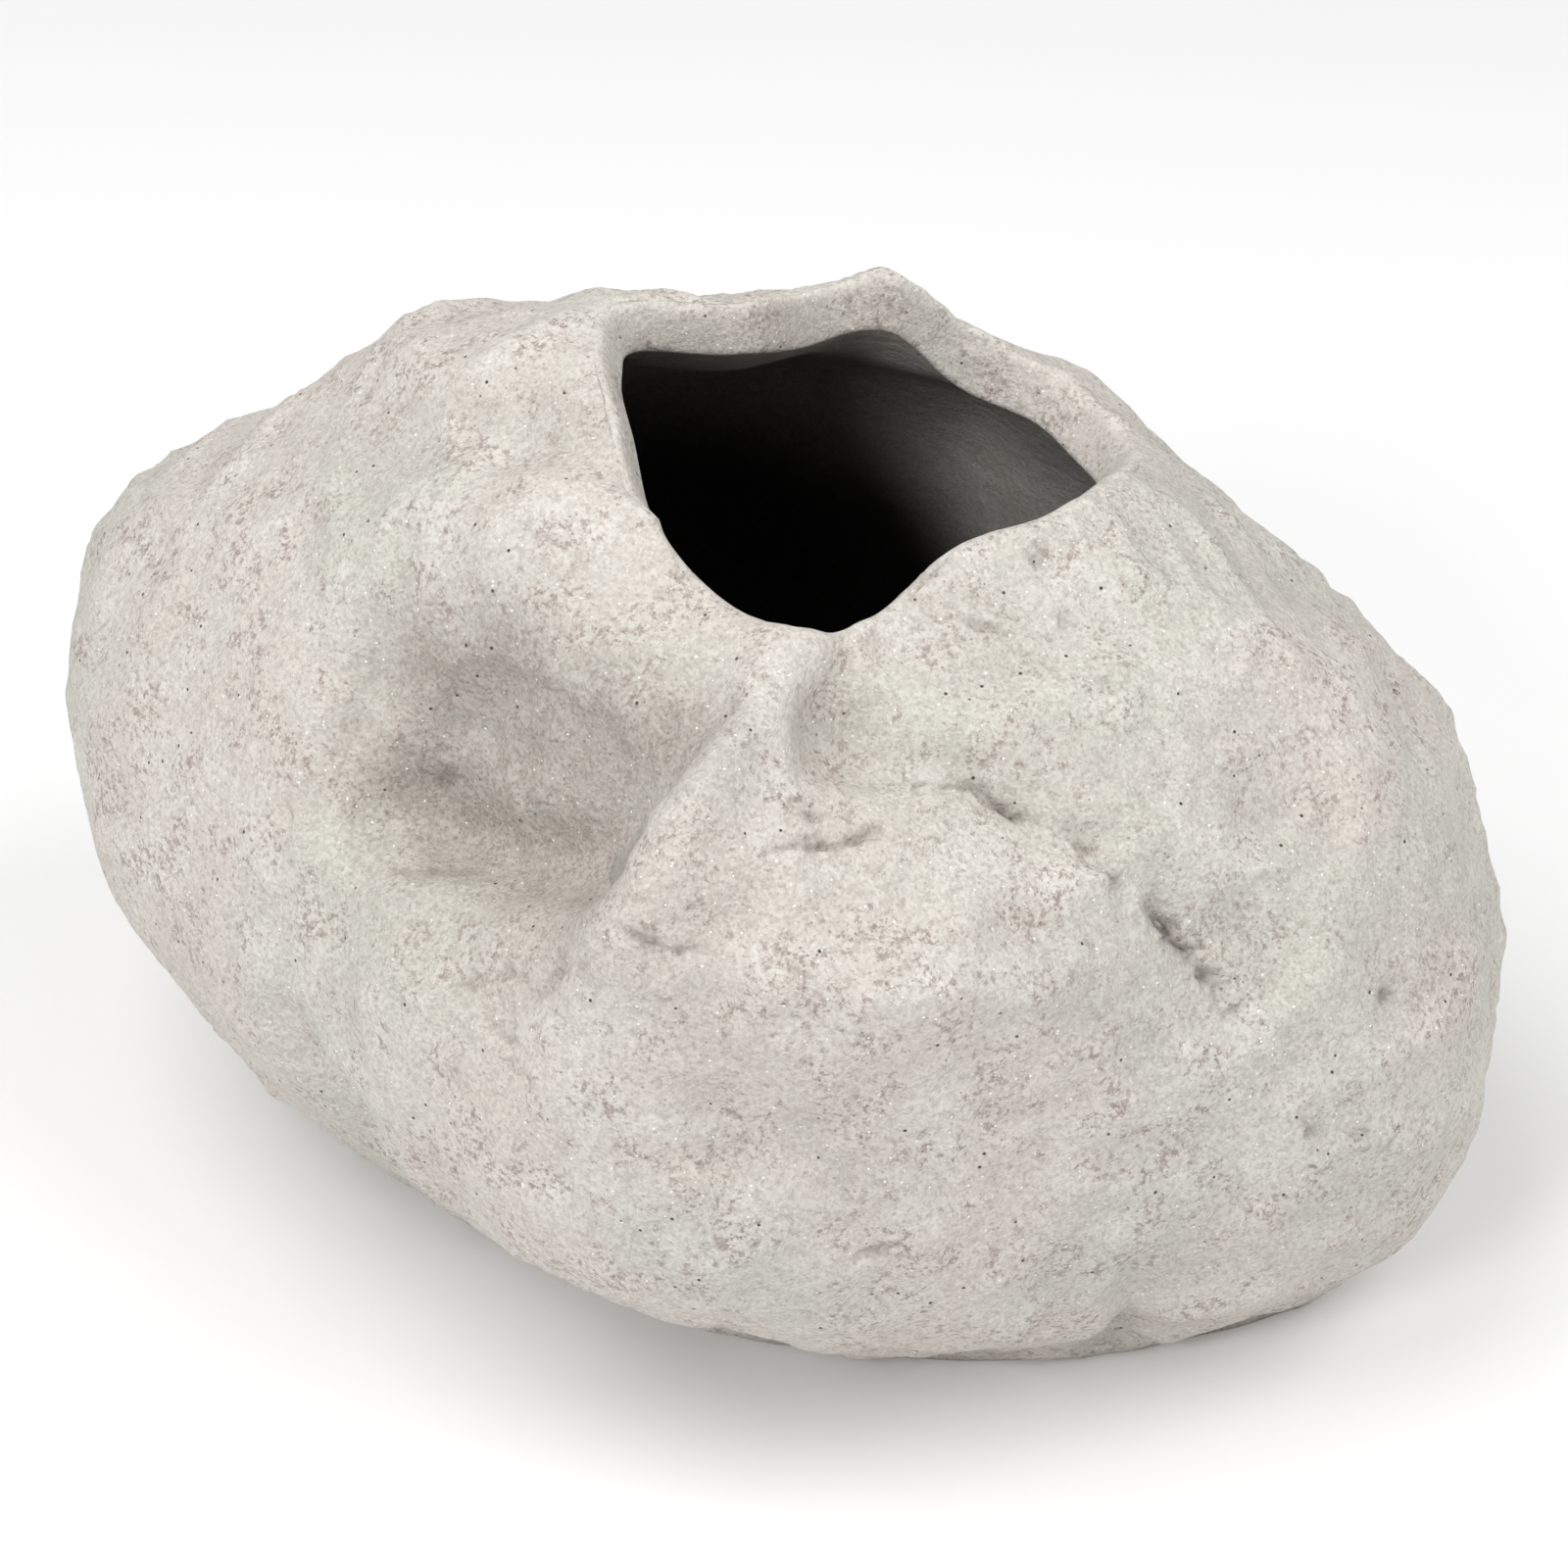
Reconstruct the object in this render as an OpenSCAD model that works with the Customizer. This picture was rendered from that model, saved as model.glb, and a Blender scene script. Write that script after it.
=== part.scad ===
/* [Stone] */
// Overall length of the stone, from the low right end to the left end
stone_length = 160; // [120:1:200]
// How sharply the flat faces of the stone meet
face_sharpness = 12; // [8:1:14]
// How strongly the dents, swells and ridges stand out
relief = 1; // [0:0.1:1.2]

/* [Cave] */
// Thickness of the cast wall, measured towards the stone's middle
wall = 7; // [5:0.5:8]
// Size of the opening, as a share of its usual size
mouth_size = 1; // [0.7:0.05:1.05]

/* [Underside] */
// Thickness of the base plate, which is also the depth of its rebate
plate_thickness = 4; // [3:0.5:5]
// Width of the rim of casting left round the rebate
rebate_rim = 3; // [2:0.25:3.5]
// Width of the bead of glue between the plate and the rebate
bond_gap = 0.8; // [0.5:0.1:1.5]

/* [Fineness] */
// Columns of points round the stone
columns = 84; // [48:4:96]
// Rows of points on the outside, from the opening to the ground
outer_rows = 36; // [20:2:40]
// Rows of points on the inside
inner_rows = 14; // [8:2:20]

/* [Hidden] */

// Every length below is for a stone of this length, and is scaled from it
drawn_length = 160;
scale_up = stone_length / drawn_length;

// The stone is described from its middle: a direction is an azimuth, where 0 is +X
// and 90 is +Y, and an elevation above the horizon. The middle is this high.
middle_height = 44;
middle = [0, 0, middle_height * scale_up];

// Flat faces worn on the stone: azimuth, elevation, distance from the middle
faces = [
    [5, -20, 84],       // low bulge of the right end
    [28, 3, 75],        // right end
    [40, 28, 62],       // right shoulder, behind
    [50, 50, 52],       // slope behind the opening, on the right
    [80, 65, 50],       // top, behind the opening
    [80, 35, 52],       // back, upper half
    [90, 0, 50],        // back
    [140, 15, 64],      // back of the left end
    [140, 55, 51],      // top of the left end, behind
    [-170, 58, 60],     // top of the left end
    [-160, 34, 78],     // left shoulder
    [-155, 12, 85],     // left end
    [-155, -10, 79],    // left end, under its widest part
    [-134, -24, 76],    // left end, low, in front
    [-120, -28, 68],    // left front, low
    [-102, -42, 57],    // front, low, left of the middle
    [-72, -52, 60],     // front, low
    [-42, -45, 66],     // front, low, right of the middle
    [-12, -38, 93],     // right end, low
    [-45, 0, 64],       // front of the right lobe
    [-105, 15, 56],     // left part of the front
    [-120, 45, 60],     // left part of the top, in front
    [-50, 55, 54],      // where the opening is
    [-15, 35, 66],      // top of the right lobe
    [55, -38, 68],      // back, low, on the right
    [95, -25, 56],      // back, low
    [140, -35, 70],     // back, low, on the left
];

// Round swells and dents: azimuth, elevation, spread in degrees, height
swells = [
    [75, 72, 9, 4],         // peak of the back lip
    [-100, 80, 9, -3],      // dip of the back lip
    [150, 68, 12, -3],      // hollow behind the back lip
    [60, 46, 8, 2],         // right end of the back lip
    [-172, 48, 9, 3],       // knob on the left end's top
    [-150, 56, 9, 2],       // knob in front of it
    [-165, 12, 8, 2.5],     // knob on the left end
    [32, 8, 8, 2],          // knob on the right end
    [-97, 28, 12, -7.5],    // hollow in the front
    [-79, 25, 8, -6.5],     // its deep right end
    [-95, 5, 9, 3.5],       // shelf under it
    [-45, 20, 20, 4],       // swell of the right lobe
    [-60, 26, 8, 2.5],      // its left side
    [-51, 36, 5, -2],       // dent below the opening
    [-60, 2, 7, -2],        // dent in the front, low
    [-17, 12, 9, -2.5],     // worn facet of the right end
    [118, 12, 14, -4],      // hollow in the back
    [70, -8, 14, 3],        // knob on the back, low
    [165, -20, 12, -3],     // hollow under the left end
];

// Ridges and troughs: azimuth and elevation of one end, then of the other, spread,
// height, and the share of the height that is left at the ends
ridges = [
    [-108, 15, -80, 20, 6, -4, 0.6],    // foot of the hollow in the front
    [-110, 47, -80, 46, 8, 2.5, 0.4],   // brow over the hollow
    [-117, 40, -115, -8, 8, 2.5, 0.4],  // left edge of the hollow
    [-57, 43, -68, 28, 5, 4.5, 0.7],    // from the opening down beside the hollow
    [-68, 28, -79, 4, 6, 5, 0.5],       // on towards the left foot
    [-51, 30, -27, 17, 6, -3, 0.5],     // trough across the right lobe
    [-66, 14, -30, 12, 6, 1.8, 0.3],    // edge of the terrace under it
    [-128, 52, -93, 58, 6, -2, 0.4],    // crease in front of the left end's knobs
    [-56, 5, -44, -16, 5, 1.8, 0.3],    // low ridge down the front
    [-108, -10, -103, -30, 5, -3, 0.5], // notch in the left foot
    [75, 50, 110, -10, 8, 3, 0.3],      // down the back
    [20, 35, 25, -15, 7, 2, 0.3],       // down the right end
];

// Axis of the opening, and its outline round that axis: angle round, angle out
mouth_azimuth = -40;
mouth_elevation = 74;
mouth_outline = [
    [0, 25], [28, 30], [50, 38], [72, 42], [92, 36], [104, 29],     // right corner and back lip
    [120, 26], [140, 20], [162, 20], [181, 25], [200, 22.5],        // peak, dip, left corner
    [228, 21], [254, 24], [281, 28],                                // left lip
    [300, 31.5], [312, 28], [335, 22.5],                            // notch and front lip
];

// Section of the lip, from the outside to the inside: angle back from the
// outline, and depth as a share of the wall
lip_section = [[0.4, 0.05], [0, 0.2], [0, 0.8], [0.4, 0.95]];
lip_start = 1.3;

function along(azimuth, elevation) =
    [cos(elevation) * cos(azimuth), cos(elevation) * sin(azimuth), sin(elevation)];
function unit(v) = v / norm(v);
function ones(list) = [for (item = list) 1];

// Distance from the middle to the worn faces, in one direction
face_pulls = [for (f = faces) along(f[0], f[1]) / f[2]];
function worn_radius(u) =
    pow([for (pull = face_pulls) pow(max(0, pull * u), face_sharpness)] * ones(faces), -1 / face_sharpness);

// A bump that falls off with the angle from its middle, whose cosine is given
function bump(cosine, spread) = exp((cosine - 1) / (1 - cos(spread)));

swell_heights = [for (s = swells) s[3]];
swell_ways = [for (s = swells) along(s[0], s[1])];
function swell_sum(u) =
    swell_heights * [for (i = [0 : len(swells) - 1]) bump(swell_ways[i] * u, swells[i][2])];

function ridge_height(u, r) =
    let (
        start = along(r[0], r[1]),
        run = along(r[2], r[3]) - start,
        share = max(0, min(1, (u - start) * run / (run * run))),
        taper = r[6] + (1 - r[6]) * pow(sin(180 * share), 2)
    )
    r[5] * taper * bump(u * unit(start + share * run), r[4]);
function ridge_sum(u) = [for (r = ridges) ridge_height(u, r)] * ones(ridges);

function stone_radius(u) = scale_up * (worn_radius(u) + relief * (swell_sum(u) + ridge_sum(u)));
function skin_point(u, depth) = middle + (stone_radius(u) - depth) * u;

// Directions are laid out round the axis of the opening
axis_up = along(mouth_azimuth, mouth_elevation);
axis_right = unit(cross([0, 1, 0], axis_up));
axis_back = cross(axis_up, axis_right);
function ray(round_angle, out_angle) =
    cos(out_angle) * axis_up
    + sin(out_angle) * (cos(round_angle) * axis_right + sin(round_angle) * axis_back);

// Smooth curve through the outline's points, by cubic pieces
function outline_knot(i) =
    let (count = len(mouth_outline), turn = floor(i / count))
    mouth_outline[i - turn * count] + [360 * turn, 0];
function knot_slope(i) =
    let (before = outline_knot(i - 1), after = outline_knot(i + 1))
    (after[1] - before[1]) / (after[0] - before[0]);
function last_knot_before(round_angle, i) =
    outline_knot(i + 1)[0] > round_angle ? i : last_knot_before(round_angle, i + 1);
function mouth_angle(round_angle) =
    let (
        i = last_knot_before(round_angle, 0),
        a = outline_knot(i),
        b = outline_knot(i + 1),
        gap = b[0] - a[0],
        t = (round_angle - a[0]) / gap
    )
    mouth_size * (
        (2 * t * t * t - 3 * t * t + 1) * a[1]
        + (t * t * t - 2 * t * t + t) * gap * knot_slope(i)
        + (3 * t * t - 2 * t * t * t) * b[1]
        + (t * t * t - t * t) * gap * knot_slope(i + 1)
    );

// Angle out from the axis at which a skin comes down to a height, by halving
function landing(round_angle, depth, height, low, high, steps) =
    let (half = (low + high) / 2)
    steps == 0 ? half
    : skin_point(ray(round_angle, half), depth)[2] > height
        ? landing(round_angle, depth, height, half, high, steps - 1)
        : landing(round_angle, depth, height, low, half, steps - 1);
furthest_landing = 170;
landing_steps = 24;

round_angles = [for (i = [0 : columns - 1]) i * 360 / columns];
lip_angles = [for (a = round_angles) mouth_angle(a)];
outer_landings = [
    for (i = [0 : columns - 1])
        landing(round_angles[i], 0, 0, lip_angles[i], furthest_landing, landing_steps)
];
inner_landings = [
    for (i = [0 : columns - 1])
        landing(round_angles[i], wall, plate_thickness, lip_angles[i], furthest_landing, landing_steps)
];

// Rings of points, one under another, on a skin of the stone
function skin_ring(depth, landings, share) = [
    for (i = [0 : columns - 1])
        let (first = lip_angles[i] + lip_start, out = first + (landings[i] - first) * share)
        skin_point(ray(round_angles[i], out), depth)
];
function lip_ring(section) = [
    for (i = [0 : columns - 1])
        skin_point(ray(round_angles[i], lip_angles[i] + section[0]), section[1] * wall)
];
function at_height(ring, height) = [for (p = ring) [p[0], p[1], height]];
function drawn_in(ring, distance) =
    [for (p = ring) let (flat = [p[0], p[1]]) flat * (1 - distance / norm(flat))];
function lifted(outline, height) = [for (p = outline) [p[0], p[1], height]];

outer_rings = [for (k = [outer_rows : -1 : 0]) skin_ring(0, outer_landings, k / outer_rows)];
lip_rings = [for (section = lip_section) lip_ring(section)];
inner_rings = [for (k = [0 : inner_rows]) skin_ring(wall, inner_landings, k / inner_rows)];

ground_ring = at_height(outer_rings[0], 0);
ledge_ring = at_height(inner_rings[inner_rows], plate_thickness);
rebate_outline = drawn_in(ground_ring, rebate_rim);
plate_outline = drawn_in(ground_ring, rebate_rim + bond_gap);

// The rings in order round the wall: up the outside, over the lip, down the inside,
// across the ledge and the rebate, and back to the ground
shell_rings = concat(
    [ground_ring],
    [for (k = [1 : outer_rows]) outer_rings[k]],
    lip_rings,
    [for (k = [0 : inner_rows - 1]) inner_rings[k]],
    [ledge_ring, lifted(rebate_outline, plate_thickness), lifted(rebate_outline, 0)]
);

// Closed skin over rings that come back to the first one
module ring_tube(rings) {
    ring_count = len(rings);
    corners = [for (ring = rings) each ring];
    triangles = [
        for (r = [0 : ring_count - 1], c = [0 : columns - 1])
            let (
                next_r = (r + 1) % ring_count,
                next_c = (c + 1) % columns,
                a = r * columns + c,
                b = r * columns + next_c,
                d = next_r * columns + c,
                e = next_r * columns + next_c
            )
            each [[a, e, b], [a, d, e]]
    ];
    polyhedron(points = corners, faces = triangles);
}

// Hollow casting, open at the top and underneath
module rock_shell() {
    color("lightgray") ring_tube(shell_rings);
}

// Plate that closes the underside, flush with the foot of the casting
module base_plate() {
    color("darkgray") linear_extrude(plate_thickness) polygon(plate_outline);
}

// Bead of glue round the plate
module bond_bead() {
    color("tan")
        linear_extrude(plate_thickness)
            difference() {
                polygon(rebate_outline);
                polygon(plate_outline);
            }
}

rock_shell();
base_plate();
bond_bead();
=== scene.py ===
"""The looks of a cast resin cave stone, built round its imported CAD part."""

import math
import random

import bmesh
import bpy
import numpy as np
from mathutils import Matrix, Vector, noise


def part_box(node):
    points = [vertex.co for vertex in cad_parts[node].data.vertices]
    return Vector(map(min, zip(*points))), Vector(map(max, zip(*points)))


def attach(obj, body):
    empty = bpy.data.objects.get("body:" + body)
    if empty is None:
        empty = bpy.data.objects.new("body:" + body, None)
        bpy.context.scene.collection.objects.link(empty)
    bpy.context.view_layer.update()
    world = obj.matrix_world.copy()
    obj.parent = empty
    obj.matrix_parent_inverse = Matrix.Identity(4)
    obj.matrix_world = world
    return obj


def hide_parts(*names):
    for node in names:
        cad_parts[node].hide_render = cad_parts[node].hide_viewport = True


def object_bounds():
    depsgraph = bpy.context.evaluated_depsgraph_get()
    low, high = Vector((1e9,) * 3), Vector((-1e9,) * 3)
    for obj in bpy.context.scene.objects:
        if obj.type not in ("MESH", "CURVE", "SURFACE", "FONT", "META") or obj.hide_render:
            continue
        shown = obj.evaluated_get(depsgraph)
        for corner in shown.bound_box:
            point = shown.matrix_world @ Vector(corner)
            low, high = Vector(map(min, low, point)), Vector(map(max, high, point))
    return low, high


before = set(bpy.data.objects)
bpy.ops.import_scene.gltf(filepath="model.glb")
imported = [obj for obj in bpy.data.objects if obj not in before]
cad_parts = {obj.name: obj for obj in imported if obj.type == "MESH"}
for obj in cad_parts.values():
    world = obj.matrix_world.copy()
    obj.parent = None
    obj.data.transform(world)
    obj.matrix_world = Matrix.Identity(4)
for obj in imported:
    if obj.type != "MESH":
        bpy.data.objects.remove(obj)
cad_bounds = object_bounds()

MM = 0.001
STONE_LOW, STONE_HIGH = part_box("rock_shell")
PLATE_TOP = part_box("base_plate")[1].z

# The stone is worked on from its middle: a direction is an azimuth, where 0 is +X and
# 90 is +Y, and an elevation above the horizon
MIDDLE = Vector((0, 0, 0.45 * STONE_HIGH.z))

# Forms too fine for the CAD shell: a path of directions from the middle, then half
# width and height in millimetres, outwards where above 0
FORMS = [
    # smooth ridge from the opening down beside the hollow
    ([(-56, 42), (-61, 36), (-65, 30), (-68, 24), (-71, 17), (-75, 7), (-81, -2)], 3.4, 2.4),
    # the hollow's deep right end, its foot and its left edge
    ([(-66, 37), (-71, 31), (-75, 25), (-80, 21)], 3.2, -2.6),
    ([(-107, 17), (-100, 18), (-92, 19), (-85, 20), (-78, 21)], 2.6, -2.4),
    ([(-110, 11), (-100, 12), (-92, 13), (-84, 14)], 2.4, 1.4),
    ([(-112, 33), (-110, 24), (-108, 17)], 2.8, -1.6),
    ([(-103, 24), (-100, 20)], 3.0, -1.2),
    # trough along the long crack, and the edge of the terrace under it
    ([(-52, 34), (-44, 31), (-36, 27), (-29, 21), (-22, 11)], 2.8, -1.8),
    ([(-66, 16), (-56, 16), (-46, 14), (-38, 14), (-28, 13)], 3.0, 1.2),
    # low ridge down the front, and the dents beside it
    ([(-56, 6), (-50, -4), (-45, -14)], 2.6, 0.8),
    ([(-66, 7), (-60, 4)], 4.0, -0.9),
    ([(-51, -5), (-49, -10)], 3.0, -0.8),
    # crease in front of the knobs of the left end
    ([(-128, 52), (-110, 56), (-94, 59)], 3.0, -0.9),
    # dent under the opening
    ([(-53, 37), (-50, 32)], 3.0, -1.2),
    # notches that run down to the foot
    ([(-28, -18), (-25, -26), (-21, -37)], 2.4, -2.4),
    ([(-112, -8), (-106, -14), (-104, -26)], 3.2, -3.0),
]

# Cracks, pits and gashes on the front of the stone, in the same terms but with a depth
MARKS = [
    # the long crack across the right lobe, and the gouge at its end
    ([(-49, 32), (-44, 30), (-39, 29), (-36, 26), (-32, 24), (-29, 20), (-26, 16)], 0.42, 1.3),
    ([(-26, 17), (-24, 14), (-22, 10), (-20, 5)], 0.8, 1.9),
    ([(-61, 25), (-57, 26), (-53, 26), (-49, 27)], 0.5, 1.5),
    ([(-59, 30), (-55, 28), (-54, 28)], 0.3, 0.6),
    # pitted steps by the opening
    ([(-29, 40), (-25, 36), (-22, 34)], 0.5, 0.8),
    ([(-21, 48), (-17, 46)], 1.1, 0.7),
    ([(-21, 43), (-23, 40)], 0.45, 0.5),
    ([(-34, 44), (-30, 42)], 0.5, 0.4),
    # pits and short cracks of the right end
    ([(-8, 4), (-7, 2)], 1.0, 1.2),
    ([(-16, -4), (-15, -7)], 0.5, 0.6),
    ([(-12, -6), (-11, -7)], 0.5, 0.6),
    # scratches above the hollow
    ([(-70, 38), (-71, 35)], 0.4, 0.5),
    ([(-63, 38), (-64, 36)], 0.4, 0.5),
    # gashes and pits below the hollow
    ([(-82, 12), (-88, 8)], 0.7, 1.1),
    ([(-76, 15), (-81, 10)], 0.6, 0.9),
    ([(-73, 16), (-74, 15)], 0.5, 0.8),
    ([(-84, 9), (-82, 6), (-80, 4)], 1.0, 1.2),
    ([(-70, 19), (-67, 18), (-64, 18)], 0.5, 0.9),
    ([(-56, 16), (-58, 18)], 0.5, 0.6),
    # crevice and ledge at the left edge of the hollow
    ([(-104, 24), (-100, 20)], 0.9, 1.0),
    ([(-106, 12), (-94, 16)], 0.5, 0.6),
]

# Brown dirt and painted shade in the hollow of the front: directions and spread
HOLLOW_DIRT_AND_SHADE = [
    (-79, 22, 7),
    (-88, 22, 9),
    (-97, 21, 9),
    (-104, 22, 7),
    (-104, 32, 7),
    (-92, 33, 10),
    (-79, 33, 8),
    (-71, 34, 6),
]

# Small marks scattered all round: how many, longest run in degrees, half width, depth.
# They keep off the foot and the very top, by the sine of their elevation.
SCATTERED = [(60, 0.2, 0.7, 0.35), (26, 4, 0.35, 0.35), (9, 7, 0.5, 0.45)]
SCATTER_SEED = 11
SCATTER_BAND = (-0.6, 0.9)

# The mesh is cut finer as far as this many half widths, and a little more, from a mark
REFINE_CUTS = 3
REFINE_REACH = 1.6
REFINE_MARGIN = 0.5

# A mark's line wanders over one length, by so many half widths, and its depth comes and
# goes over another
WANDER_SIZE = 1.2 * MM
WANDER = 1.3
PATCH_SIZE = 2.9 * MM

# A mark wider than this is painted less dark, with less dirt and painted shade, the wider it is
DARK_HALF_WIDTH = 0.7

# Relief of the skin: size of the lumps, or of the dips between crests, and their
# height, in millimetres. The skin is lifted first, so that the relief doesn't shrink
# the stone.
SKIN_LUMPS = [(19, 0.9), (8, 0.6), (3.4, 0.3), (1.6, 0.12)]
SKIN_CRESTS = [(16, 1.1), (7, 0.5)]
SKIN_LIFT = 1.2
INSIDE_LUMPS = [(20, 0.8), (8, 0.25)]
INSIDE_SHIFT = 5

# The lift fades out within this distance of the sides of the CAD box, and the relief
# falls to this share there
LIFT_MARGIN = 4 * MM
EDGE_SHARE = 0.5

# The left front is smoother than the rest: direction and spread, and the share of the
# relief that it keeps
SMOOTH_SIDE = (-135, 5, 24)
SMOOTH_SHARE = 0.45

# Deepest wear at the foot, in millimetres, where the casting is only as wide as the
# plate's rim, and the height at which that limit ends
FOOT_WEAR = 1.8
FOOT_HEIGHT = 10 * MM

# Points within this height of the ground move less and less up or down
FOOT_FADE = 3 * MM

# The painted shade deep in the cave starts and is full at these shares of the stone's height
SHADE_TOP = 0.85
SHADE_FOOT = 0.50

# The wall of the cave is left without painted shade below the right of the opening, where
# light falls: direction of that part's middle, then how far from it in degrees it stays whole and where
# it ends
UNSHADED_WALL = (62, 28)
UNSHADED_WHOLE = 30
UNSHADED_END = 48


def along(azimuth, elevation):
    """The direction at an azimuth and an elevation, in degrees."""
    a = math.radians(azimuth)
    e = math.radians(elevation)
    return Vector((math.cos(e) * math.cos(a), math.cos(e) * math.sin(a), math.sin(e)))


def smooth_step(low, high, value):
    """0 at low, 1 at high and a smooth change between them."""
    t = np.clip((value - low) / (high - low), 0, 1)
    return t * t * (3 - 2 * t)


# --- Shape of the stone ---------------------------------------------------------------

def smoothed_shell():
    """The CAD shell as a finer mesh, rounded everywhere but at its foot."""
    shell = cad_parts["rock_shell"].data.copy()
    shell.materials.clear()
    mesh = bmesh.new()
    mesh.from_mesh(shell)
    bmesh.ops.remove_doubles(mesh, verts=mesh.verts, dist=0.01 * MM)
    bmesh.ops.join_triangles(
        mesh,
        faces=mesh.faces,
        angle_face_threshold=math.pi,
        angle_shape_threshold=math.pi,
    )
    crease = mesh.edges.layers.float.new("crease_edge")
    for edge in mesh.edges:
        at_foot = max(v.co.z for v in edge.verts) < PLATE_TOP + 0.1 * MM
        if at_foot and edge.calc_face_angle(0) > math.radians(40):
            edge[crease] = 1
    mesh.to_mesh(shell)
    mesh.free()

    piece = bpy.data.objects.new("stone_casting", shell)
    bpy.context.scene.collection.objects.link(piece)
    rounding = piece.modifiers.new("rounding", "SUBSURF")
    rounding.levels = 2
    rounding.render_levels = 2
    depsgraph = bpy.context.evaluated_depsgraph_get()
    piece.data = bpy.data.meshes.new_from_object(piece.evaluated_get(depsgraph))
    piece.modifiers.clear()
    return piece


def scattered_marks():
    """Pits and short scratches in random places, as MARKS gives them."""
    draw = random.Random(SCATTER_SEED)
    marks = []
    for count, longest, half_width, depth in SCATTERED:
        for _ in range(count):
            azimuth = draw.uniform(-180, 180)
            elevation = math.degrees(math.asin(draw.uniform(*SCATTER_BAND)))
            run = longest * draw.uniform(0.4, 1)
            turn = draw.uniform(0, math.tau)
            sideways = run * math.cos(turn) / math.cos(math.radians(elevation))
            path = [
                (azimuth, elevation),
                (azimuth + 0.5 * sideways, elevation + run * math.sin(turn) * draw.uniform(0.2, 0.8)),
                (azimuth + sideways, elevation + run * math.sin(turn)),
            ]
            size = draw.uniform(0.6, 1.2)
            marks.append((path, half_width * size, depth * size))
    return marks


def coordinates(mesh):
    """Every vertex of a mesh, one row each."""
    flat = np.empty(len(mesh.vertices) * 3)
    mesh.vertices.foreach_get("co", flat)
    return flat.reshape(-1, 3)


def from_middle(points):
    """Directions of points from the stone's middle, and their distances."""
    arms = points - np.array(MIDDLE)
    lengths = np.linalg.norm(arms, axis=1)
    return arms / lengths[:, None], lengths


def way_along(ways, lengths, path):
    """How far each point lies from a path of directions, and how far along it, 0 to 1."""
    corners = [np.array(along(*corner)) for corner in path]
    nearest = np.full(len(ways), np.inf)
    place = np.zeros(len(ways))
    for i, (start, end) in enumerate(zip(corners, corners[1:])):
        run = end - start
        share = np.clip((ways - start) @ run / (run @ run), 0, 1)
        gap = np.linalg.norm(ways - start - share[:, None] * run, axis=1)
        closer = gap < nearest
        nearest[closer] = gap[closer]
        place[closer] = (i + share[closer]) / (len(corners) - 1)
    return nearest * lengths, place


def refine_at_marks(piece, marks):
    """Cuts the mesh finer where the marks run, so that they are real dents."""
    ways, lengths = from_middle(coordinates(piece.data))
    near = np.zeros(len(ways), bool)
    for path, half_width, _ in marks:
        gap, _ = way_along(ways, lengths, path)
        near |= gap < (REFINE_REACH * half_width + REFINE_MARGIN) * MM
    mesh = bmesh.new()
    mesh.from_mesh(piece.data)
    mesh.verts.ensure_lookup_table()
    chosen = [
        edge for edge in mesh.edges
        if near[edge.verts[0].index]
        and near[edge.verts[1].index]
        and edge.verts[0].normal.dot(edge.verts[0].co - MIDDLE) > 0
    ]
    bmesh.ops.subdivide_edges(mesh, edges=chosen, cuts=REFINE_CUTS, use_grid_fill=True)
    mesh.to_mesh(piece.data)
    mesh.free()


def lumps(points, sizes, shift):
    """Sum of noises in millimetres, never below 0."""
    total = np.zeros(len(points))
    for size, height in sizes:
        scale = 1 / (size * MM)
        waves = np.array([noise.noise(Vector(p) * scale + Vector((shift, shift, size))) for p in points])
        total += height * np.clip(0.5 + 0.7 * waves, 0, 1)
    return total


def crests(points, sizes):
    """Dips in millimetres between sharp crests, which run where a noise is 0."""
    total = np.zeros(len(points))
    for size, height in sizes:
        waves = np.array([noise.noise(Vector(p) / (size * MM)) for p in points])
        total += height * np.minimum(1, 2.5 * np.abs(waves))
    return total


def lift(points):
    """Share of the lift and the forms at each point, 0 at the sides and top of the CAD box."""
    lowest, highest = (np.array(corner) for corner in cad_bounds)
    gap = np.minimum((points - lowest)[:, :2].min(axis=1), (highest - points).min(axis=1))
    return smooth_step(0, LIFT_MARGIN, gap)


def near_way(ways, azimuth, elevation, spread):
    """1 in one direction, falling off round it with the angle."""
    cosine = ways @ np.array(along(azimuth, elevation))
    return np.exp((cosine - 1) / (1 - math.cos(math.radians(spread))))


def form_heights(ways, lengths):
    """Height of the forms at each point, in millimetres."""
    heights = np.zeros(len(ways))
    for path, half_width, height in FORMS:
        gap, place = way_along(ways, lengths, path)
        taper = 0.5 + 0.5 * np.sin(math.pi * place)
        heights += height * taper * np.exp(-(gap / (half_width * MM)) ** 2)
    return heights


def mark_depths(points, ways, lengths, marks):
    """Depth of the marks at each point, in millimetres, and how much dirt and painted shade they get."""
    depths = np.zeros(len(points))
    dirt_and_shade = np.zeros(len(points))
    for path, half_width, depth in marks:
        gap, place = way_along(ways, lengths, path)
        near = np.flatnonzero(gap < 4 * half_width * MM)
        wander = np.array([noise.noise(Vector(points[i]) / WANDER_SIZE) for i in near])
        patchy = np.array([noise.noise(Vector(points[i]) / PATCH_SIZE) for i in near])
        across = gap[near] / (half_width * MM) + WANDER * wander
        taper = 0.35 + 0.65 * np.sin(math.pi * place[near])
        shape = taper * np.clip(0.75 + 1.1 * patchy, 0, 1.3) * np.exp(-across ** 2)
        depths[near] = np.maximum(depths[near], depth * shape)
        dirt_and_shade[near] = np.maximum(dirt_and_shade[near], shape * min(1, DARK_HALF_WIDTH / half_width))
    return depths, dirt_and_shade


def unshaded_share(ways):
    """1 where the wall of the cave is left without painted shade, 0 where painted shade covers it."""
    cosines = ways @ np.array(along(*UNSHADED_WALL))
    return smooth_step(math.cos(math.radians(UNSHADED_END)), math.cos(math.radians(UNSHADED_WHOLE)), cosines)


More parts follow.
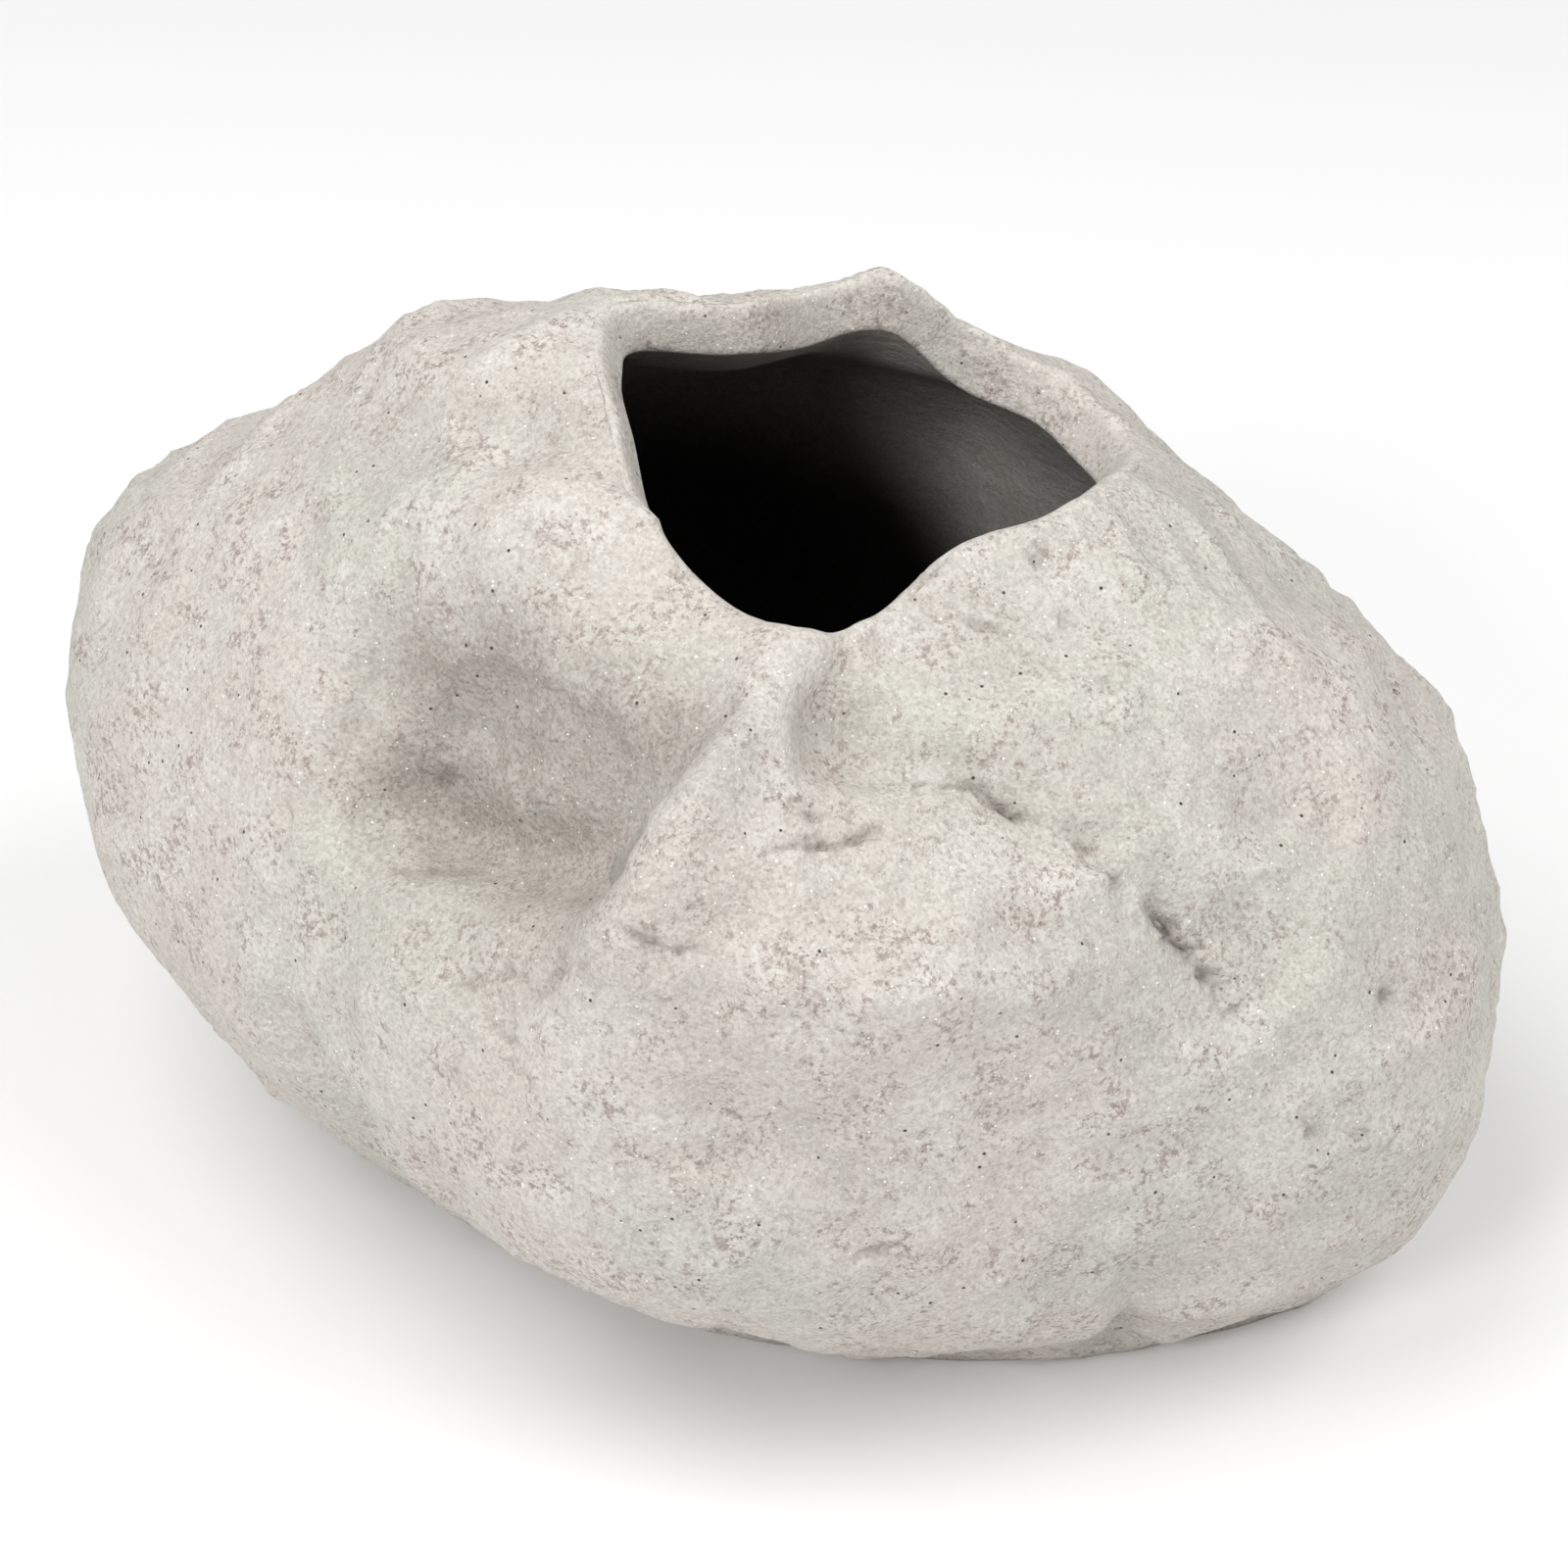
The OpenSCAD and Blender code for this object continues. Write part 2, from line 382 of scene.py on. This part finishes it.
def wear(piece, marks):
    """Works the relief, forms and marks into the skins, and keeps how deep they are."""
    mesh = piece.data
    points = coordinates(mesh)
    ways, lengths = from_middle(points)
    normals = np.empty(len(points) * 3)
    mesh.vertices.foreach_get("normal", normals)
    normals = normals.reshape(-1, 3)
    facing = np.einsum("ij,ij->i", normals, ways)
    outside = smooth_step(-0.2, 0.5, facing)
    inside = smooth_step(0.2, 0.7, -facing)
    height = points[:, 2]

    rough = 1 - (1 - SMOOTH_SHARE) * near_way(ways, *SMOOTH_SIDE)
    skin = rough * (lumps(points, SKIN_LUMPS, 0) + crests(points, SKIN_CRESTS))
    cut, cut_dirt_and_shade = mark_depths(points, ways, lengths, marks)
    room = lift(points)
    skin *= EDGE_SHARE + (1 - EDGE_SHARE) * room
    worn = skin + cut - room * (rough * SKIN_LIFT + form_heights(ways, lengths))
    deepest = FOOT_WEAR + (worn.max() - FOOT_WEAR) * smooth_step(0, FOOT_HEIGHT, height)
    above_plate = smooth_step(PLATE_TOP, PLATE_TOP + 2 * FOOT_FADE, height)
    inner = lumps(points, INSIDE_LUMPS, INSIDE_SHIFT) * above_plate
    depth = (outside * np.minimum(worn, deepest) + inside * inner) * MM
    push = normals.copy()
    push[:, 2] *= smooth_step(0, FOOT_FADE, height)
    points -= push * depth[:, None]
    mesh.vertices.foreach_set("co", points.ravel())

    # dirt and painted shade in the hollow of the front
    hollow = np.max([near_way(ways, *place) for place in HOLLOW_DIRT_AND_SHADE], axis=0)
    keep(mesh, "dirt_and_shade", hollow * outside)
    # painted shade in the dips of the skin's relief, by how far they sink
    keep(mesh, "worn", skin / sum(step for _, step in SKIN_LUMPS + SKIN_CRESTS) * outside)
    # dirt and painted shade in the marks
    keep(mesh, "cut", np.clip(cut_dirt_and_shade, 0, 1) * outside)
    keep(mesh, "inside", inside)
    keep(mesh, "lip", outside * (1 - smooth_step(0.35, 0.75, facing)))
    # painted shade: the cave's wall darkens with depth, except where light falls in through the opening
    deep = smooth_step(SHADE_TOP * STONE_HIGH.z, SHADE_FOOT * STONE_HIGH.z, height)
    keep(mesh, "darkening", deep * inside * (1 - unshaded_share(ways)))


def keep(mesh, name, values):
    """Stores one number for each vertex, which the materials read."""
    layer = mesh.attributes.new(name, "FLOAT", "POINT")
    layer.data.foreach_set("value", values.astype(np.float32))


def make_stone(material):
    """The casting, with its relief, in the place of the CAD shell."""
    piece = smoothed_shell()
    marks = MARKS + scattered_marks()
    refine_at_marks(piece, marks)
    wear(piece, marks)
    piece.data.materials.append(material)
    for face in piece.data.polygons:
        face.use_smooth = True
    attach(piece, "root")
    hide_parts("rock_shell")
    return piece


# --- Materials ------------------------------------------------------------------------

class Nodes:
    """Short ways to lay out the nodes of one material."""

    def __init__(self, name):
        self.material = bpy.data.materials.new(name)
        self.material.use_nodes = True
        self.tree = self.material.node_tree
        self.shader = self.tree.nodes["Principled BSDF"]
        self.place = self.add("ShaderNodeTexCoord").outputs["Object"]

    def add(self, kind, **settings):
        node = self.tree.nodes.new(kind)
        for key, value in settings.items():
            setattr(node, key, value)
        return node

    def link(self, value, socket):
        """Sets a socket to a number or a colour, or joins an output to it."""
        if isinstance(value, bpy.types.NodeSocket):
            self.tree.links.new(value, socket)
        elif isinstance(value, tuple):
            socket.default_value = value + (1,)
        else:
            socket.default_value = value

    def noise(self, size, detail=3, roughness=0.5):
        """Cloudy noise whose lumps have a size in metres, from 0 to 1."""
        node = self.add("ShaderNodeTexNoise")
        self.link(self.place, node.inputs["Vector"])
        node.inputs["Scale"].default_value = 1 / size
        node.inputs["Detail"].default_value = detail
        node.inputs["Roughness"].default_value = roughness
        return node.outputs["Fac"]

    def cells(self, size):
        """Distance to the nearest cell's middle, and the cell's own random number."""
        node = self.add("ShaderNodeTexVoronoi")
        self.link(self.place, node.inputs["Vector"])
        node.inputs["Scale"].default_value = 1 / size
        split = self.add("ShaderNodeSeparateColor")
        self.link(node.outputs["Color"], split.inputs[0])
        return node.outputs["Distance"], split.outputs[0]

    def attribute(self, name):
        """A number that keep() stored on the mesh."""
        return self.add("ShaderNodeAttribute", attribute_name=name).outputs["Fac"]

    def ramp(self, value, low, high, start=0.0, end=1.0):
        """Carries low..high over to start..end, and holds it there."""
        node = self.add("ShaderNodeMapRange", interpolation_type="SMOOTHSTEP")
        self.link(value, node.inputs["Value"])
        node.inputs["From Min"].default_value = low
        node.inputs["From Max"].default_value = high
        node.inputs["To Min"].default_value = start
        node.inputs["To Max"].default_value = end
        return node.outputs["Result"]

    def dots(self, size, core, edge, least_draw):
        """Round dots in the cells whose random number is above least_draw."""
        gap, draw = self.cells(size)
        drawn = self.ramp(draw, least_draw, least_draw + 0.01)
        return self.math("MULTIPLY", self.ramp(gap, core, edge, 1, 0), drawn)

    def math(self, operation, a, b):
        node = self.add("ShaderNodeMath", operation=operation)
        self.link(a, node.inputs[0])
        self.link(b, node.inputs[1])
        return node.outputs[0]

    def mix(self, share, a, b, blend="MIX"):
        node = self.add("ShaderNodeMix", data_type="RGBA", blend_type=blend)
        self.link(share, node.inputs[0])
        self.link(a, node.inputs[6])
        self.link(b, node.inputs[7])
        return node.outputs[2]

    def bump(self, height, distance, strength=1.0, after=None):
        """Roughens the surface by a height that is distance metres from 0 to 1."""
        node = self.add("ShaderNodeBump")
        self.link(height, node.inputs["Height"])
        node.inputs["Distance"].default_value = distance
        node.inputs["Strength"].default_value = strength
        if after:
            self.link(after, node.inputs["Normal"])
        return node.outputs["Normal"]

    def finish(self, colour, roughness, normal):
        self.link(colour, self.shader.inputs["Base Color"])
        self.link(roughness, self.shader.inputs["Roughness"])
        self.link(normal, self.shader.inputs["Normal"])
        return self.material


# Colours of the stone, from its clean skin to the darkest painted shade of its cave
GREY_GREEN = (0.500, 0.486, 0.430)
PINKISH_BEIGE = (0.540, 0.500, 0.450)
PALE_GREY = (0.600, 0.578, 0.525)
GRAIN_DARK = (0.30, 0.28, 0.255)
GRAIN_PALE = (0.88, 0.86, 0.82)
GLINT_WHITE = (0.97, 0.97, 0.95)
# painted shade in the skin's dips
DIP_SHADE_GREY = (0.380, 0.350, 0.310)
HOLLOW_DIRT_SHADE_BROWN = (0.235, 0.200, 0.168)
STAIN_BROWN = (0.225, 0.172, 0.142)
CRACK_DIRT_SHADE_BROWN = (0.200, 0.168, 0.142)
DOT_BROWN = (0.200, 0.150, 0.125)
SPECK_BLACK = (0.06, 0.05, 0.045)
# painted shade of the cave's depth
CAVE_SHADE_BLACK = (0.026, 0.024, 0.022)


def stone_mottling(n):
    """Broad mottling between grey-green, pinkish beige and pale grey."""
    broad = n.ramp(n.noise(26 * MM, 3), 0.40, 0.60)
    pale = n.ramp(n.noise(10 * MM, 5, 0.65), 0.46, 0.64, 0, 0.8)
    return n.mix(pale, n.mix(broad, GREY_GREEN, PINKISH_BEIGE), PALE_GREY)


def gathering(n):
    """Where grains of dirt gather: in clusters, in the hollow, where they add to its painted shade, and
    a little everywhere.
    """
    clusters = n.ramp(n.noise(6.5 * MM, 6, 0.75), 0.46, 0.58)
    hollow = n.ramp(n.attribute("dirt_and_shade"), 0.1, 0.9)
    return n.math("MAXIMUM", n.math("MAXIMUM", clusters, hollow), 0.36)


def with_stains_and_shade(n, colour, gathered, outside):
    """Fine brown grains, fewer on the lip, then brown dirt and painted shade in the hollow and cracks,
    and painted shade in the dips.
    """
    grains = n.ramp(n.noise(0.8 * MM, 5, 0.8), 0.49, 0.57)
    open_side = n.math("SUBTRACT", outside, n.math("MULTIPLY", n.attribute("lip"), 0.7))
    darkening = n.math("MULTIPLY", n.math("MULTIPLY", grains, gathered), open_side)
    colour = n.mix(n.math("MULTIPLY", darkening, 0.90), colour, STAIN_BROWN)

    patches = n.ramp(n.noise(5 * MM, 5, 0.7), 0.38, 0.62, 0.55, 1.0)
    # brown dirt and painted shade in the hollow
    hollow_dirt_and_shade = n.math("MULTIPLY", n.attribute("dirt_and_shade"), patches)
    colour = n.mix(hollow_dirt_and_shade, colour, HOLLOW_DIRT_SHADE_BROWN)
    # painted shade in the dips of the skin's relief
    colour = n.mix(n.ramp(n.attribute("worn"), 0.45, 0.80, 0, 0.35), colour, DIP_SHADE_GREY)
    # dirt and painted shade in the cracks and pits
    return n.mix(n.math("MULTIPLY", n.attribute("cut"), 0.55), colour, CRACK_DIRT_SHADE_BROWN)


def with_grain(n, colour, gathered, outside):
    """Sugary stone powder, brown dots, most of them in the clusters, and black specks."""
    _, grain = n.cells(0.30 * MM)
    colour = n.mix(0.22, colour, n.mix(grain, GRAIN_DARK, GRAIN_PALE))

    dot = n.math("MULTIPLY", n.dots(0.75 * MM, 0.12, 0.24, 0.55), outside)
    dot = n.math("MULTIPLY", dot, n.ramp(gathered, 0, 1, 0.25, 0.9))
    colour = n.mix(n.math("MULTIPLY", dot, 0.75), colour, DOT_BROWN)

    speck = n.math("MULTIPLY", n.dots(2.2 * MM, 0.06, 0.10, 0.55), outside)
    return n.mix(speck, colour, SPECK_BLACK)


def stone_material():
    """Pale warm grey cast stone: mottled, speckled, with dirt and painted shade in its hollows, and
    painted glints.
    """
    n = Nodes("cast_stone")
    outside = n.math("SUBTRACT", 1.0, n.attribute("inside"))
    gathered = gathering(n)
    colour = with_stains_and_shade(n, stone_mottling(n), gathered, outside)
    colour = with_grain(n, colour, gathered, outside)

    # painted highlights: glints as white dots in the colour, which are also a little smoother
    glint = n.dots(0.8 * MM, 0.08, 0.17, 0.80)
    colour = n.mix(n.math("MULTIPLY", glint, 0.85), colour, GLINT_WHITE)
    roughness = n.ramp(n.noise(2.5 * MM, 3), 0.3, 0.7, 0.60, 0.76)
    roughness = n.math("SUBTRACT", roughness, n.math("MULTIPLY", glint, 0.35))
    n.shader.inputs["Specular IOR Level"].default_value = 0.35

    # the depth of the cave is painted dark as painted shade, up to a little below the lip
    colour = n.mix(n.attribute("darkening"), colour, CAVE_SHADE_BLACK)

    normal = n.bump(n.noise(1.8 * MM, 4, 0.6), 0.35 * MM, 1.0)
    normal = n.bump(n.noise(0.40 * MM, 3, 0.7), 0.12 * MM, 1.0, normal)
    return n.finish(colour, roughness, normal)


def plate_material():
    """Back-poured resin: a little greyer, with flow marks and small bubbles."""
    n = Nodes("poured_resin")
    flow = n.ramp(n.noise(18 * MM, 4, 0.6), 0.35, 0.65)
    colour = n.mix(flow, (0.50, 0.48, 0.44), (0.60, 0.57, 0.52))

    # its upper side is the floor of the cave, painted dark towards its top as painted shade, like the
    # cave
    split = n.add("ShaderNodeSeparateXYZ")
    n.link(n.place, split.inputs[0])
    darkening = n.ramp(split.outputs["Z"], 0.6 * PLATE_TOP, 0.95 * PLATE_TOP)
    colour = n.mix(darkening, colour, (0.060, 0.056, 0.052))

    bubble = n.dots(3.5 * MM, 0.08, 0.16, 0.6)
    colour = n.mix(n.math("MULTIPLY", bubble, 0.6), colour, (0.26, 0.24, 0.22))
    roughness = n.ramp(n.noise(6 * MM, 3), 0.3, 0.7, 0.5, 0.75)
    normal = n.bump(n.noise(2.2 * MM, 4, 0.6), 0.20 * MM, 0.6)
    normal = n.bump(n.math("SUBTRACT", 1.0, bubble), 0.4 * MM, 0.8, normal)
    return n.finish(colour, roughness, normal)


def bond_material():
    """Cured amber epoxy, ground flat."""
    n = Nodes("cured_epoxy")
    cloudy = n.ramp(n.noise(5 * MM, 3), 0.35, 0.65)
    colour = n.mix(cloudy, (0.42, 0.33, 0.20), (0.50, 0.41, 0.27))
    roughness = n.ramp(n.noise(1.5 * MM, 3), 0.3, 0.7, 0.28, 0.5)
    normal = n.bump(n.noise(0.8 * MM, 3), 0.08 * MM, 0.6)
    return n.finish(colour, roughness, normal)


def floor_material():
    """Plain white studio floor."""
    n = Nodes("studio_floor")
    colour = n.mix(n.noise(0.2, 2), (0.86, 0.86, 0.86), (0.88, 0.88, 0.88))
    return n.finish(colour, 0.8, n.bump(n.noise(2 * MM, 2), 0.02 * MM, 0.2))


def dress(node, material):
    """Gives a carried-over CAD node its material."""
    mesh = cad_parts[node].data
    mesh.materials.clear()
    mesh.materials.append(material)


# --- Studio ---------------------------------------------------------------------------

# What the camera and the lights look at
TARGET = Vector((0, 0, 0.43 * STONE_HIGH.z))

CAMERA_WAY = (-58, 32)
CAMERA_REACH = 0.43
CAMERA_LENS = 96.75

# Round soft lights: name, direction, distance, width and power
SOFTBOXES = [
    ("key", (-128, 64), 0.9, 0.7, 4.1),
    ("right_fill", (10, 48), 1.0, 0.8, 4.6),
    ("front_fill", (-88, 32), 1.0, 0.25, 3.0),
]
WORLD_STRENGTH = 0.5
FLOOR_HALF = 3.0


def aimed(thing, place):
    """Puts a camera or a light at a place, looking at the stone."""
    thing.location = place
    thing.rotation_euler = (TARGET - place).to_track_quat("-Z", "Y").to_euler()
    bpy.context.scene.collection.objects.link(thing)


def add_camera():
    data = bpy.data.cameras.new("camera")
    data.sensor_width = 36
    data.lens = CAMERA_LENS
    data.clip_start = 0.01
    camera = bpy.data.objects.new("camera", data)
    aimed(camera, TARGET + CAMERA_REACH * along(*CAMERA_WAY))
    bpy.context.scene.camera = camera


def add_softbox(name, way, reach, size, power):
    data = bpy.data.lights.new(name, "AREA")
    data.shape = "DISK"
    data.size = size
    data.energy = power
    aimed(bpy.data.objects.new(name, data), TARGET + reach * along(*way))


def add_floor():
    corners = [(-1, -1), (1, -1), (1, 1), (-1, 1)]
    points = [(x * FLOOR_HALF, y * FLOOR_HALF, STONE_LOW.z) for x, y in corners]
    mesh = bpy.data.meshes.new("floor")
    mesh.from_pydata(points, [], [(0, 1, 2, 3)])
    mesh.materials.append(floor_material())
    floor = bpy.data.objects.new("floor", mesh)
    bpy.context.scene.collection.objects.link(floor)


def add_world():
    world = bpy.data.worlds.new("studio")
    world.use_nodes = True
    background = world.node_tree.nodes["Background"]
    background.inputs["Color"].default_value = (1, 1, 1, 1)
    background.inputs["Strength"].default_value = WORLD_STRENGTH
    bpy.context.scene.world = world


make_stone(stone_material())
dress("base_plate", plate_material())
dress("bond_bead", bond_material())
add_floor()
add_world()
for softbox in SOFTBOXES:
    add_softbox(*softbox)
add_camera()
bpy.context.scene.view_settings.view_transform = "Standard"
